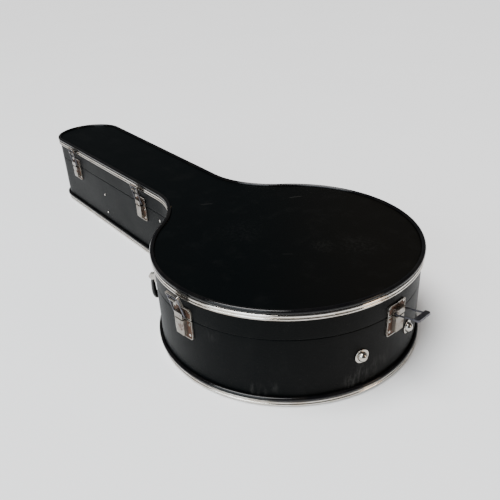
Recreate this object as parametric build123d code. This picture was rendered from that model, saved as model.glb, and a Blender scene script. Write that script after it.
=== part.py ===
"""Hard-shell case for a round-bodied, long-necked string instrument (closed, standing flat on its base).

Frame: millimetres, +Z up, z = 0 on the floor.  The origin is the centre of the round body on the bottom
face, +X runs to the end of the neck and +Y to the side that carries the latches and the handle.
"""
from build123d import *
import math
import os

os.makedirs("parts", exist_ok=True)

# ---------------------------------------------------------------- driving dimensions
RIM_RADIUS = 205.0          # round body, outside of the metal rim
NECK_END_X = 808.0          # tip of the neck, outside of the rim
NECK_END_RADIUS = 75.0      # round end of the neck
NECK_TAPER = math.radians(1.04)   # each side of the neck widens by this towards its end
SHOULDER_RADIUS = 154.0     # hollow curve between body and neck

PARTING_Z = 107.0           # where lid and base meet
PARTING_GAP = 0.2           # on each side of the parting plane
BASE_WALL_TOP = PARTING_Z - PARTING_GAP
LID_WALL_BOTTOM = PARTING_Z + PARTING_GAP
LID_WALL_TOP = 147.0
TOP_BOARD_TOP = 149.5
TOP_SURFACE_Z = 150.5       # covered top of the lid, inside the bead

# insets are measured inwards from the outside of the rim
COVER_INSET = 4.0           # outer face of the covered side wall
WALL_INSET = 5.0            # outer face of the plywood
WALL_INNER_INSET = 11.0
BEAD_INNER_INSET = 7.2
LINING_INSET = 19.0
LINER_LIP_INSET = 12.6

FLOOR_THICKNESS = 6.0
COVER_THICKNESS = 1.0
FLOOR_TOP = COVER_THICKNESS + FLOOR_THICKNESS
FLOOR_LINING_TOP = FLOOR_TOP + 4.0
WALL_LINING_TOP = 96.0
LID_LINING_BOTTOM = 137.0
TOP_BOARD_BOTTOM = 141.0

TOP_STRIP_BOTTOM = 138.0
TOP_STRIP_TOP = 147.0
BOTTOM_STRIP_BOTTOM = 0.4
BOTTOM_STRIP_TOP = 9.0
STRIP_EDGE = 1.2             # how far the metal strip stands out at its edges, lobes and groove
STRIP_CROWN = 3.9
STRIP_GROOVE = 1.8
TOP_BEAD_RADIUS = 3.4
TOP_BEAD_INSET = 3.5
TOP_BEAD_Z = TOP_SURFACE_Z
BOTTOM_BEAD_RADIUS = 3.25
BOTTOM_BEAD_INSET = 1.75
BOTTOM_BEAD_Z = 12.3

COVER_RADIUS = RIM_RADIUS - COVER_INSET
FAR = 400.0                 # longer than anything it is used to cut

# locating lip inside the base wall
LIP_CLEARANCE = 0.35        # between the lip and the lid's wall
LIP_HEIGHT = 5.5            # above the parting plane
LID_LINING_INSET = 13.6
LID_WALL_LINING_BOTTOM = 114.0

# latches: positions of their centres
BODY_LATCH_ANGLES = (96.3, 185.6)      # degrees on the round body
NECK_LATCH_X = (356.0, 661.0)
LATCH_HALF_WIDTH = 19.0
LATCH_HOOK_BOTTOM = 75.0
LATCH_HOOK_TOP = 106.4
LATCH_LID_BOTTOM = 107.7
LATCH_LID_TOP = 123.5
LATCH_PLATE_THICKNESS = 1.2
LATCH_RIM_HEIGHT = 2.0
LATCH_RIM_WIDTH = 1.5
LATCH_CORNER = 5.0
LATCH_BLANK = 9.0                      # half depth of the blank that is cut to the wall's curve
HOUSING_HALF_WIDTH = 8.5
HOUSING_FRONT = 8.0                    # how far the pressed housing stands out
HOUSING_BOTTOM = 82.0
HOUSING_TOP = 105.6
HOUSING_SHEET = 1.2
HOUSING_EDGE = 1.6                     # round of its front edges
HOUSING_ROOT = -2.0                    # where it starts, behind the wall's face
PIVOT_OUT = 5.0                        # bail pivot, outwards from the wall
PIVOT_Z = 111.0
PIVOT_BLOCK_TOP = 117.0
WIRE_RADIUS = 1.25
WIRE_BORE_RADIUS = 1.30
WIRE_ARM = 11.3                        # half of the distance between the bail's arms
WIRE_END = 5.6                         # inner end of each wire trunnion
WIRE_REACH = 34.0                      # pivot to crossbar
WIRE_DROP = 2.2                        # the arms lean back by this towards the finger pan
WIRE_CORNER = 2.6
BORE_SPARE = 0.6                       # the trunnion bores are deeper than the trunnions by this
PAN_HALF_WIDTH = 13.9
PAN_FAR = 38.0
PAN_NEARS = (20.0, 29.8, 20.0, 20.0)   # near edge of each pan: the second is only a narrow lip
PAN_BACK = -4.7
PAN_SHEET = 1.2
PAN_RIM = -1.6
PAN_CORNER = 3.0
TONGUE_NEAR = 29.8
TONGUE_FAR = 31.2
TONGUE_HALF_WIDTH = 6.0
TONGUE_TIP = 1.5
TONGUE_ROOT = PAN_BACK + 0.4
RIVET_RADIUS = 2.2
RIVET_HEIGHT = 1.2
RIVET_EDGE = 0.5
HOOK_RIVET_HEIGHTS = (82.0, 99.0)
HOOK_RIVET_OFFSET = 13.2
LID_RIVET_HEIGHTS = (119.6,)
LID_RIVET_OFFSET = 14.6
# how far each open bail leans out from upright, in the order of the latches
BAIL_LEANS = (18.5, 83.0, 15.0, 12.0)

# hinges on the -Y side of the round body
HINGE_AXIS_Y = -205.5
HINGE_CENTRES_X = (-30.0, 30.0)
HINGE_HALF_LENGTH = 15.0
HINGE_LEAF_HALF_LENGTH = 19.0
HINGE_LEAF_HEIGHT = 18.0
HINGE_LEAF_THICKNESS = 1.3
HINGE_LEAF_GAP = 0.3                   # from the leaf's edge to the edge of its wall
HINGE_WEB = 2.4                        # height of the arm between leaf and knuckle
HINGE_PIN_END = 0.6                    # how far the pin stands out of the outer knuckles
KNUCKLE_RADIUS = 3.0
HINGE_PIN_RADIUS = 1.5
HINGE_BORE_RADIUS = 1.56
KNUCKLE_GAP = 0.25

# handle on the body's shoulder
HANDLE_ANGLE = 43.0
HANDLE_PIVOT_OUT = 4.8
HANDLE_PIVOT_Z = 92.0
HANDLE_HALF_LENGTH = 40.0
HANDLE_DROP = 45.0
GRIP_HALF_THICKNESS = 3.9
GRIP_HALF_HEIGHT = 6.0
GRIP_CORNER = 22.0
GRIP_START = 7.5                       # the grip starts this far under the pivot
CORE_HALF_THICKNESS = 1.5
EYE_RADIUS = 3.6
ARM_HALF_WIDTH = 1.7
ARM_CLEARANCE = 0.3                    # between an arm and the ears of its bracket
EAR_THICKNESS = 1.5
EAR_RADIUS = 4.7
HANDLE_PIN_RADIUS = 1.25
HANDLE_PIN_END = 0.4
HANDLE_BORE_RADIUS = 1.30
BRACKET_HALF_WIDTH = 6.0
BRACKET_HALF_HEIGHT = 8.0
BRACKET_FRONT = -0.2
BRACKET_BACK = -12.0                   # before it is cut to the curved wall

# accessory compartment in the neck
BOX_START_X = 300.0
BOX_LENGTH = 94.0
BOX_HALF_WIDTH = 47.0
BOX_WALL = 4.0
BOX_TOP = 40.0
BOX_FLOOR = 2.0
BOX_LID_THICKNESS = 3.0
BOX_LID_BOTTOM = BOX_TOP + 0.4
BOX_LID_MARGIN = 0.5
BOX_LID_CORNER = 8.0
TAB_LENGTH = 26.0
TAB_HALF_WIDTH = 7.0
TAB_THICKNESS = 0.8
TAB_OVERHANG = 4.0                     # past the end of the compartment

# neck rest
CRADLE_X = (560.0, 606.0)
CRADLE_TOP = 72.0
CRADLE_HALF_WIDTH = 52.0
NOTCH_HALF_WIDTH = 27.0
NOTCH_BOTTOM = 40.0
NOTCH_CORNER = 14.0

# domed feet on the end of the body, and flat rivets on the neck
BUMPER_ANGLES = (168.7, 196.0)
BUMPER_HEIGHT = 63.0
BUMPER_FLANGE_RADIUS = 10.5
BUMPER_FLANGE_THICKNESS = 1.6
BUMPER_FLANGE_EDGE = 0.7
BUMPER_DOME_RADIUS = 7.2
BUMPER_DOME_HEIGHT = 6.8
BUMPER_GAP = 0.05
NECK_RIVETS = ((529.0, 73.0), (527.0, 32.0), (288.0, 93.0))     # x and height of each
NECK_RIVET_RADIUS = 2.6
NECK_RIVET_HEIGHT = 1.0
NECK_RIVET_EDGE = 0.8

# both ends of a cylinder that stands on its placement plane
STANDING = (Align.CENTER, Align.CENTER, Align.MIN)


# ---------------------------------------------------------------- outline of the case
def outline_points(inset):
    """Tangent points of the outline, offset inwards by inset: body, shoulder, neck side, neck end."""
    sin_t = math.sin(NECK_TAPER)
    cos_t = math.cos(NECK_TAPER)
    end_centre = Vector(NECK_END_X - NECK_END_RADIUS, 0)
    side_normal = Vector(-sin_t, cos_t)
    side_direction = Vector(cos_t, sin_t)
    side_offset = end_centre.dot(side_normal) + NECK_END_RADIUS
    along = math.sqrt((RIM_RADIUS + SHOULDER_RADIUS) ** 2 - (side_offset + SHOULDER_RADIUS) ** 2)
    shoulder_centre = side_normal * (side_offset + SHOULDER_RADIUS) + side_direction * along
    on_body = shoulder_centre.normalized() * (RIM_RADIUS - inset)
    on_side = shoulder_centre - side_normal * (SHOULDER_RADIUS + inset)
    on_end = end_centre + side_normal * (NECK_END_RADIUS - inset)
    return {
        "body": on_body,
        "side": on_side,
        "end": on_end,
        "shoulder_centre": shoulder_centre,
        "end_centre": end_centre,
    }


def arc_middle(centre, start, end, radius):
    """Point half-way along the shorter arc from start to end."""
    middle = (start - centre).normalized() + (end - centre).normalized()
    return centre + middle.normalized() * radius


def mirrored(point):
    return Vector(point.X, -point.Y)


def outline_wire(inset, z=0.0):
    """Closed outline of the case, offset inwards by inset, at height z."""
    points = outline_points(inset)
    body, side, end = points["body"], points["side"], points["end"]
    shoulder = arc_middle(points["shoulder_centre"], body, side, SHOULDER_RADIUS + inset)
    tip = Vector(NECK_END_X - inset, 0)
    heel = Vector(-(RIM_RADIUS - inset), 0)
    edges = [
        ThreePointArc(mirrored(side), mirrored(shoulder), mirrored(body)),
        ThreePointArc(mirrored(body), heel, body),
        ThreePointArc(body, shoulder, side),
        Line(side, end),
        ThreePointArc(end, tip, mirrored(end)),
        Line(mirrored(end), mirrored(side)),
    ]
    return Wire(edges).moved(Location((0, 0, z)))


def slab(inset, bottom, top):
    """Solid with the whole outline."""
    face = Face(outline_wire(inset, bottom))
    return extrude(face, amount=top - bottom, dir=(0, 0, 1))


def ring(outer_inset, inner_inset, bottom, top):
    """Wall that follows the outline."""
    return slab(outer_inset, bottom, top) - slab(inner_inset, bottom - 1, top + 1)


def outline_sweep(inset, z, profile):
    """Sweep a profile round the outline.  The profile is drawn with x outwards and y up."""
    path = outline_wire(inset, z)
    start = path @ 0
    tangent = path % 0
    outwards = Vector(0, 0, 1).cross(tangent)
    if (start + outwards).Y > start.Y:
        outwards = outwards * -1
    plane = Plane(origin=start, x_dir=outwards, z_dir=outwards.cross(Vector(0, 0, 1)))
    section = plane * profile
    return sweep(sections=section, path=path)


def box(low, high):
    """Box from its lowest to its highest corner."""
    size = [b - a for a, b in zip(low, high)]
    centre = [(a + b) / 2 for a, b in zip(low, high)]
    return Pos(*centre) * Box(*size)


def cylinder_along_x(radius, start, end, y, z):
    middle = (start + end) / 2
    return Pos(middle, y, z) * Rot(0, 90, 0) * Cylinder(radius, end - start)


def save(node, shape):
    """Write one node as a STEP file."""
    export_step(shape, f"parts/{node}.step")


# ---------------------------------------------------------------- shells
def side_wall(bottom, top):
    return ring(WALL_INSET, WALL_INNER_INSET, bottom, top)


def side_covering(bottom, top):
    return ring(COVER_INSET, WALL_INSET, bottom, top)


def metal_strip(bottom, top):
    """Rolled metal strip with two lobes and a groove between them, laid against the covered wall."""
    half = (top - bottom) / 2
    edges = [
        Line((0, -half), (STRIP_EDGE, -half)),
        ThreePointArc((STRIP_EDGE, -half), (STRIP_CROWN, -half / 2), (STRIP_GROOVE, 0)),
        ThreePointArc((STRIP_GROOVE, 0), (STRIP_CROWN, half / 2), (STRIP_EDGE, half)),
        Line((STRIP_EDGE, half), (0, half)),
        Line((0, half), (0, -half)),
    ]
    return outline_sweep(COVER_INSET, (bottom + top) / 2, Face(Wire(edges)))


def top_bead():
    return outline_sweep(TOP_BEAD_INSET, TOP_BEAD_Z, Circle(TOP_BEAD_RADIUS))


def bottom_bead():
    """Round bead at the foot, cut flat against the covered wall."""
    centre_out = COVER_INSET - BOTTOM_BEAD_INSET
    keep = Pos(FAR / 2, 0) * Rectangle(FAR, FAR)
    profile = (Pos(centre_out, 0) * Circle(BOTTOM_BEAD_RADIUS)) & keep
    return outline_sweep(COVER_INSET, BOTTOM_BEAD_Z, profile)


def top_panel():
    """Top board: its thicker middle drops inside the side wall."""
    lower = slab(WALL_INNER_INSET, TOP_BOARD_BOTTOM, LID_WALL_TOP)
    upper = slab(BEAD_INNER_INSET, LID_WALL_TOP, TOP_BOARD_TOP)
    return lower + upper


def locating_lip():
    """Thin lip inside the base wall that stands up into the lid and lines it up."""
    fixed = ring(WALL_INNER_INSET, LINER_LIP_INSET, WALL_LINING_TOP, BASE_WALL_TOP)
    standing = ring(WALL_INNER_INSET + LIP_CLEARANCE, LINER_LIP_INSET, BASE_WALL_TOP, PARTING_Z + LIP_HEIGHT)
    return fixed + standing


def lid_wall_lining():
    return ring(WALL_INNER_INSET, LID_LINING_INSET, LID_WALL_LINING_BOTTOM, LID_LINING_BOTTOM)


# ---------------------------------------------------------------- latches
def body_plane(angle, height=0.0, stand_off=0.0):
    """Plane on the round wall: x along the wall, y up and z outwards."""
    a = math.radians(angle)
    outwards = Vector(math.cos(a), math.sin(a), 0)
    origin = outwards * (COVER_RADIUS + stand_off) + Vector(0, 0, height)
    return Plane(origin, x_dir=Vector(0, 0, 1).cross(outwards), z_dir=outwards)


def neck_plane(x, height=0.0):
    """Plane on the neck's latch side, laid out like body_plane."""
    points = outline_points(COVER_INSET)
    side, end = points["side"], points["end"]
    origin = side + (end - side) * ((x - side.X) / (end.X - side.X)) + Vector(0, 0, height)
    outwards = Vector(-math.sin(NECK_TAPER), math.cos(NECK_TAPER), 0)
    return Plane(origin, x_dir=Vector(0, 0, 1).cross(outwards), z_dir=outwards)


def latch_places():
    """Plane of every latch at floor height, and whether its wall is curved."""
    on_body = [(body_plane(angle), True) for angle in BODY_LATCH_ANGLES]
    on_neck = [(neck_plane(x), False) for x in NECK_LATCH_X]
    return on_body + on_neck


def behind_wall(curved, stand_off=0.0):
    """Everything within stand_off of the wall, in the latch's own frame."""
    if curved:
        return Pos(0, 0, -COVER_RADIUS) * Rot(90, 0, 0) * Cylinder(COVER_RADIUS + stand_off, FAR)
    return box((-FAR, -FAR, -FAR), (FAR, FAR, stand_off))


def plate_outline(bottom, top, inset, rounded_bottom):
    """Face of a latch plate in its own frame, with round lower or upper corners."""
    half = LATCH_HALF_WIDTH - inset
    height = top - bottom - 2 * inset
    corner = LATCH_CORNER - inset
    middle = (bottom + top) / 2
    shape = Pos(0, middle) * Rectangle(2 * half, height)
    chosen = [v for v in shape.vertices() if (v.Y < middle) == rounded_bottom]
    return fillet(chosen, corner)


def conforming_plate(bottom, top, rounded_bottom, curved):
    """Pressed plate that follows the wall, with a raised rim along its edge."""
    whole = plate_outline(bottom, top, 0, rounded_bottom)
    inside = plate_outline(bottom, top, LATCH_RIM_WIDTH, rounded_bottom)
    outer = extrude(whole, amount=LATCH_BLANK, both=True)
    inner = extrude(inside, amount=LATCH_BLANK, both=True)
    wall = behind_wall(curved)
    sheet = (outer & behind_wall(curved, LATCH_PLATE_THICKNESS)) - wall
    rim = ((outer - inner) & behind_wall(curved, LATCH_RIM_HEIGHT)) - wall
    return sheet + rim


def hook_plate(curved):
    """Base half of a latch: plate with a pressed housing whose open lower end is the hook."""
    plate = conforming_plate(LATCH_HOOK_BOTTOM, LATCH_HOOK_TOP, True, curved)
    housing = box((-HOUSING_HALF_WIDTH, HOUSING_BOTTOM, HOUSING_ROOT),
                  (HOUSING_HALF_WIDTH, HOUSING_TOP, HOUSING_FRONT))
    front = housing.edges().filter_by(Axis.Y).group_by(Axis.Z)[-1]
    housing = fillet(front, HOUSING_EDGE)
    inside = HOUSING_HALF_WIDTH - HOUSING_SHEET
    hollow = box((-inside, HOUSING_BOTTOM - 1, HOUSING_ROOT - 1),
                 (inside, HOUSING_TOP - HOUSING_SHEET, HOUSING_FRONT - HOUSING_SHEET))
    shell = (housing - hollow) - behind_wall(curved, LATCH_PLATE_THICKNESS / 2)
    return plate + shell


def lid_plate(curved):
    """Lid half of a latch: plate with the block that carries the bail."""
    plate = conforming_plate(LATCH_LID_BOTTOM, LATCH_LID_TOP, False, curved)
    block = box((-HOUSING_HALF_WIDTH, LATCH_LID_BOTTOM, HOUSING_ROOT),
                (HOUSING_HALF_WIDTH, PIVOT_BLOCK_TOP, HOUSING_FRONT))
    block = fillet(block.edges().filter_by(Axis.X).group_by(Axis.Z)[-1][-1:], HOUSING_EDGE)
    block = block - behind_wall(curved, LATCH_PLATE_THICKNESS / 2)
    bore_end = WIRE_END - BORE_SPARE
    right_bore = cylinder_along_x(WIRE_BORE_RADIUS, bore_end, LATCH_HALF_WIDTH, PIVOT_Z, PIVOT_OUT)
    left_bore = cylinder_along_x(WIRE_BORE_RADIUS, -LATCH_HALF_WIDTH, -bore_end, PIVOT_Z, PIVOT_OUT)
    return plate + (block - right_bore - left_bore)


def bail_wire():
    """Bent wire loop in the bail's frame: x along the pivot, y away from it, z towards the open side."""
    lean = -math.degrees(math.atan2(WIRE_DROP, WIRE_REACH))
    path = FilletPolyline(
        (WIRE_END, 0), (WIRE_ARM, 0), (WIRE_ARM, WIRE_REACH),
        (-WIRE_ARM, WIRE_REACH), (-WIRE_ARM, 0), (-WIRE_END, 0),
        radius=WIRE_CORNER,
    )
    section = Plane(origin=(WIRE_END, 0, 0), z_dir=(1, 0, 0)) * Circle(WIRE_RADIUS)
    return Rot(lean, 0, 0) * sweep(sections=section, path=path)


def bail_pan(near):
    """Pressed finger pan of a bail, with the tongue that snaps under the hook."""
    blank = Pos(0, (near + PAN_FAR) / 2) * Rectangle(2 * PAN_HALF_WIDTH, PAN_FAR - near)
    blank = fillet(blank.vertices().group_by(Axis.Y)[-1], PAN_CORNER)
    body = extrude(Pos(0, 0, PAN_BACK) * blank, amount=PAN_RIM - PAN_BACK)
    inside = PAN_HALF_WIDTH - PAN_SHEET
    hollow = box((-inside, near - 1, PAN_BACK + PAN_SHEET), (inside, PAN_FAR - PAN_SHEET, 0))
    tongue = box((-TONGUE_HALF_WIDTH, TONGUE_NEAR, TONGUE_ROOT), (TONGUE_HALF_WIDTH, TONGUE_FAR, TONGUE_TIP))
    return (body - hollow) + tongue


def bail_location(plane, lean):
    """Place of an open bail that leans out of upright by lean degrees."""
    return plane.location * Location((0, PIVOT_Z, PIVOT_OUT)) * Location((0, 0, 0), (lean, 0, 0))


def latch_rivets(plane, heights, curved, across):
    """Round-headed rivets through a latch plate."""
    heads = []
    for height in heights:
        for side in (-1, 1):
            x = side * across
            fall = COVER_RADIUS - math.sqrt(COVER_RADIUS ** 2 - x ** 2) if curved else 0.0
            head = Cylinder(RIVET_RADIUS, RIVET_HEIGHT, align=STANDING)
            head = fillet(head.edges().group_by(Axis.Z)[-1], RIVET_EDGE)
            head = Pos(x, height, LATCH_PLATE_THICKNESS - fall - RIVET_EDGE) * head
            heads.append(plane.location * (head - behind_wall(curved, LATCH_PLATE_THICKNESS)))
    return heads


# ---------------------------------------------------------------- hinges
def hinge_leaf(centre, is_lid):
    """Leaf on the round wall and its knuckles on the straight hinge line."""
    direction = 1 if is_lid else -1
    edge = PARTING_Z + direction * (PARTING_GAP + HINGE_LEAF_GAP)
    far = edge + direction * HINGE_LEAF_HEIGHT
    wall = Cylinder(COVER_RADIUS, FAR)
    block = box((centre - HINGE_LEAF_HALF_LENGTH, -FAR, min(edge, far)),
                (centre + HINGE_LEAF_HALF_LENGTH, 0, max(edge, far)))
    leaf = (block & Cylinder(COVER_RADIUS + HINGE_LEAF_THICKNESS, FAR)) - wall
    third = 2 * HINGE_HALF_LENGTH / 3
    start = centre - HINGE_HALF_LENGTH
    knuckles = (1,) if is_lid else (0, 2)
    shape = leaf
    for knuckle in knuckles:
        a = start + knuckle * third + KNUCKLE_GAP
        b = start + (knuckle + 1) * third - KNUCKLE_GAP
        barrel = cylinder_along_x(KNUCKLE_RADIUS, a, b, HINGE_AXIS_Y, PARTING_Z)
        web_low = min(edge, edge + direction * HINGE_WEB)
        web = box((a, HINGE_AXIS_Y, web_low), (b, 0, web_low + HINGE_WEB)) - wall
        shape = shape + barrel + web
    bore = HINGE_BORE_RADIUS if is_lid else HINGE_PIN_RADIUS
    return shape - cylinder_along_x(bore, centre - FAR, centre + FAR, HINGE_AXIS_Y, PARTING_Z)


def hinge_pin(centre):
    reach = HINGE_HALF_LENGTH + HINGE_PIN_END
    return cylinder_along_x(HINGE_PIN_RADIUS, centre - reach, centre + reach, HINGE_AXIS_Y, PARTING_Z)


# ---------------------------------------------------------------- handle
def handle_bracket(side, case_solid):
    """Metal fork that holds one end of the handle and fits the curved wall."""
    centre = side * HANDLE_HALF_LENGTH
    reach = ARM_HALF_WIDTH + ARM_CLEARANCE
    shape = box((centre - BRACKET_HALF_WIDTH, HANDLE_PIVOT_Z - BRACKET_HALF_HEIGHT, BRACKET_BACK),
                (centre + BRACKET_HALF_WIDTH, HANDLE_PIVOT_Z + BRACKET_HALF_HEIGHT, BRACKET_FRONT))
    for ear_side in (-1, 1):
        x = centre + ear_side * (reach + EAR_THICKNESS / 2)
        ear = Pos(x, HANDLE_PIVOT_Z, HANDLE_PIVOT_OUT) * Rot(0, 90, 0) * Cylinder(EAR_RADIUS, EAR_THICKNESS)
        web = box((x - EAR_THICKNESS / 2, HANDLE_PIVOT_Z - EAR_RADIUS, BRACKET_BACK),
                  (x + EAR_THICKNESS / 2, HANDLE_PIVOT_Z + EAR_RADIUS, HANDLE_PIVOT_OUT))
        shape = shape + ear + web
    half = 2 * BRACKET_HALF_WIDTH
    shape = shape - cylinder_along_x(HANDLE_PIN_RADIUS, centre - half, centre + half, HANDLE_PIVOT_Z,
                                     HANDLE_PIVOT_OUT)
    return (body_plane(HANDLE_ANGLE).location * shape) - case_solid


def handle_pin(side):
    centre = side * HANDLE_HALF_LENGTH
    reach = ARM_HALF_WIDTH + ARM_CLEARANCE + EAR_THICKNESS + HANDLE_PIN_END
    return body_plane(HANDLE_ANGLE).location * cylinder_along_x(
        HANDLE_PIN_RADIUS, centre - reach, centre + reach, HANDLE_PIVOT_Z, HANDLE_PIVOT_OUT)


def handle_path(top_z):
    """Centre line of the hanging handle: a U that starts and ends at top_z."""
    bar_z = HANDLE_PIVOT_Z - HANDLE_DROP
    return FilletPolyline(
        (-HANDLE_HALF_LENGTH, top_z, HANDLE_PIVOT_OUT), (-HANDLE_HALF_LENGTH, bar_z, HANDLE_PIVOT_OUT),
        (HANDLE_HALF_LENGTH, bar_z, HANDLE_PIVOT_OUT), (HANDLE_HALF_LENGTH, top_z, HANDLE_PIVOT_OUT),
        radius=GRIP_CORNER,
    )


def handle_sweep(top_z, profile):
    """Sweep a profile along the handle, drawn with x along the wall and y outwards."""
    path = handle_path(top_z)
    return sweep(sections=Plane(origin=path @ 0, x_dir=(1, 0, 0), z_dir=(0, -1, 0)) * profile, path=path)


def handle_frame():
    """Steel core: a flat bent bar with an eye at each end."""
    shape = handle_sweep(HANDLE_PIVOT_Z, Rectangle(2 * ARM_HALF_WIDTH, 2 * CORE_HALF_THICKNESS))
    for side in (-1, 1):
        low = side * HANDLE_HALF_LENGTH - ARM_HALF_WIDTH
        high = side * HANDLE_HALF_LENGTH + ARM_HALF_WIDTH
        eye = cylinder_along_x(EYE_RADIUS, low, high, HANDLE_PIVOT_Z, HANDLE_PIVOT_OUT)
        bore = cylinder_along_x(HANDLE_BORE_RADIUS, low - 1, high + 1, HANDLE_PIVOT_Z, HANDLE_PIVOT_OUT)
        shape = shape + eye - bore
    return body_plane(HANDLE_ANGLE).location * shape


def handle_grip():
    """Padded grip round the core, from just below the eyes."""
    grip = handle_sweep(HANDLE_PIVOT_Z - GRIP_START, Ellipse(GRIP_HALF_HEIGHT, GRIP_HALF_THICKNESS))
    return body_plane(HANDLE_ANGLE).location * grip - handle_frame()


# ---------------------------------------------------------------- interior and small fittings
def accessory_box():
    """Open lined compartment."""
    outer = box((BOX_START_X, -BOX_HALF_WIDTH, FLOOR_LINING_TOP),
                (BOX_START_X + BOX_LENGTH, BOX_HALF_WIDTH, BOX_TOP))
    inner = box((BOX_START_X + BOX_WALL, -BOX_HALF_WIDTH + BOX_WALL, FLOOR_LINING_TOP + BOX_FLOOR),
                (BOX_START_X + BOX_LENGTH - BOX_WALL, BOX_HALF_WIDTH - BOX_WALL, BOX_TOP + 1))
    return outer - inner


def accessory_lid():
    """Flat flap that turns about the upper edge at the body end of the compartment."""
    half = BOX_HALF_WIDTH - BOX_LID_MARGIN
    flap = box((BOX_START_X + BOX_LID_THICKNESS, -half, BOX_LID_BOTTOM),
               (BOX_START_X + BOX_LENGTH - BOX_LID_MARGIN, half, BOX_LID_BOTTOM + BOX_LID_THICKNESS))
    return fillet(flap.edges().filter_by(Axis.Z).group_by(Axis.X)[-1], BOX_LID_CORNER)


def accessory_tab():
    """Ribbon pull on the flap."""
    end = BOX_START_X + BOX_LENGTH + TAB_OVERHANG
    top = BOX_LID_BOTTOM + BOX_LID_THICKNESS
    return box((end - TAB_LENGTH, -TAB_HALF_WIDTH, top), (end, TAB_HALF_WIDTH, top + TAB_THICKNESS))


def neck_cradle():
    """Block across the neck with a round-bottomed notch for the instrument's neck."""
    start, end = CRADLE_X
    block = box((start, -CRADLE_HALF_WIDTH, FLOOR_LINING_TOP), (end, CRADLE_HALF_WIDTH, CRADLE_TOP))
    block = block & slab(LINING_INSET, 0, FAR)
    notch = box((start - 1, -NOTCH_HALF_WIDTH, NOTCH_BOTTOM), (end + 1, NOTCH_HALF_WIDTH, CRADLE_TOP + 1))
    notch = fillet(notch.edges().filter_by(Axis.X).group_by(Axis.Z)[0], NOTCH_CORNER)
    return block - notch


def end_bumper(angle):
    """Domed metal foot on the round wall, so that the case can stand on its end."""
    flange = Cylinder(BUMPER_FLANGE_RADIUS, BUMPER_FLANGE_THICKNESS, align=STANDING)
    flange = fillet(flange.edges().group_by(Axis.Z)[-1], BUMPER_FLANGE_EDGE)
    ball = Sphere(BUMPER_DOME_RADIUS) & Cylinder(FAR, BUMPER_DOME_HEIGHT, align=STANDING)
    shape = flange + Pos(0, 0, BUMPER_FLANGE_THICKNESS) * ball
    return body_plane(angle, BUMPER_HEIGHT, BUMPER_GAP).location * shape


def wall_rivet(x, height):
    """Flat round rivet on the neck's latch side."""
    head = Cylinder(NECK_RIVET_RADIUS, NECK_RIVET_HEIGHT, align=STANDING)
    head = fillet(head.edges().group_by(Axis.Z)[-1], NECK_RIVET_EDGE)
    return neck_plane(x, height).location * head


# ---------------------------------------------------------------- write every node
case_solid = slab(COVER_INSET, 0, TOP_SURFACE_Z)

save("base_bottom_covering", slab(COVER_INSET, 0, COVER_THICKNESS))
save("base_floor_panel", slab(WALL_INNER_INSET, COVER_THICKNESS, FLOOR_TOP))
save("base_side_wall", side_wall(COVER_THICKNESS, BASE_WALL_TOP))
save("base_side_covering", side_covering(COVER_THICKNESS, BASE_WALL_TOP))
save("base_bottom_strip", metal_strip(BOTTOM_STRIP_BOTTOM, BOTTOM_STRIP_TOP))
save("base_bottom_bead", bottom_bead())
save("base_locating_lip", locating_lip())
save("base_wall_lining", ring(WALL_INNER_INSET, LINING_INSET, FLOOR_TOP, WALL_LINING_TOP))
save("base_floor_lining", slab(LINING_INSET, FLOOR_TOP, FLOOR_LINING_TOP))
save("neck_cradle", neck_cradle())
save("accessory_box", accessory_box())
save("accessory_lid", accessory_lid())
save("accessory_pull_tab", accessory_tab())

save("lid_side_wall", side_wall(LID_WALL_BOTTOM, LID_WALL_TOP))
save("lid_side_covering", side_covering(LID_WALL_BOTTOM, LID_WALL_TOP))
save("lid_top_panel", top_panel())
save("lid_top_covering", slab(BEAD_INNER_INSET, TOP_BOARD_TOP, TOP_SURFACE_Z))
save("lid_top_strip", metal_strip(TOP_STRIP_BOTTOM, TOP_STRIP_TOP))
save("lid_top_bead", top_bead())
save("lid_top_lining", slab(WALL_INNER_INSET, LID_LINING_BOTTOM, TOP_BOARD_BOTTOM))
save("lid_wall_lining", lid_wall_lining())

base_rivets = []
lid_rivets = []
for number, ((plane, curved), lean, near) in enumerate(zip(latch_places(), BAIL_LEANS, PAN_NEARS), start=1):
    save(f"latch_hook_plate_{number}", plane.location * hook_plate(curved))
    save(f"latch_lid_plate_{number}", plane.location * lid_plate(curved))
    save(f"latch_bail_wire_{number}", bail_location(plane, lean) * bail_wire())
    save(f"latch_bail_pan_{number}", bail_location(plane, lean) * bail_pan(near))
    base_rivets += latch_rivets(plane, HOOK_RIVET_HEIGHTS, curved, HOOK_RIVET_OFFSET)
    lid_rivets += latch_rivets(plane, LID_RIVET_HEIGHTS, curved, LID_RIVET_OFFSET)
save("base_latch_rivets", Compound(children=base_rivets))
save("lid_latch_rivets", Compound(children=lid_rivets))

for number, centre in enumerate(HINGE_CENTRES_X, start=1):
    save(f"hinge_base_leaf_{number}", hinge_leaf(centre, False))
    save(f"hinge_lid_leaf_{number}", hinge_leaf(centre, True))
save("hinge_pins", Compound(children=[hinge_pin(centre) for centre in HINGE_CENTRES_X]))

for name, side in (("rear", 1), ("front", -1)):
    save(f"handle_bracket_{name}", handle_bracket(side, case_solid))
save("handle_pins", Compound(children=[handle_pin(side) for side in (-1, 1)]))
save("handle_frame", handle_frame())
save("handle_grip", handle_grip())

save("end_bumpers", Compound(children=[end_bumper(angle) for angle in BUMPER_ANGLES]))
save("neck_rivets", Compound(children=[wall_rivet(x, z) for x, z in NECK_RIVETS]))
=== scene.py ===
"""Looks of the closed hard-shell instrument case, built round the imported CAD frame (metres, +Z up)."""
import math

import bmesh
import bpy
from mathutils import Matrix, Vector, noise


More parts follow.
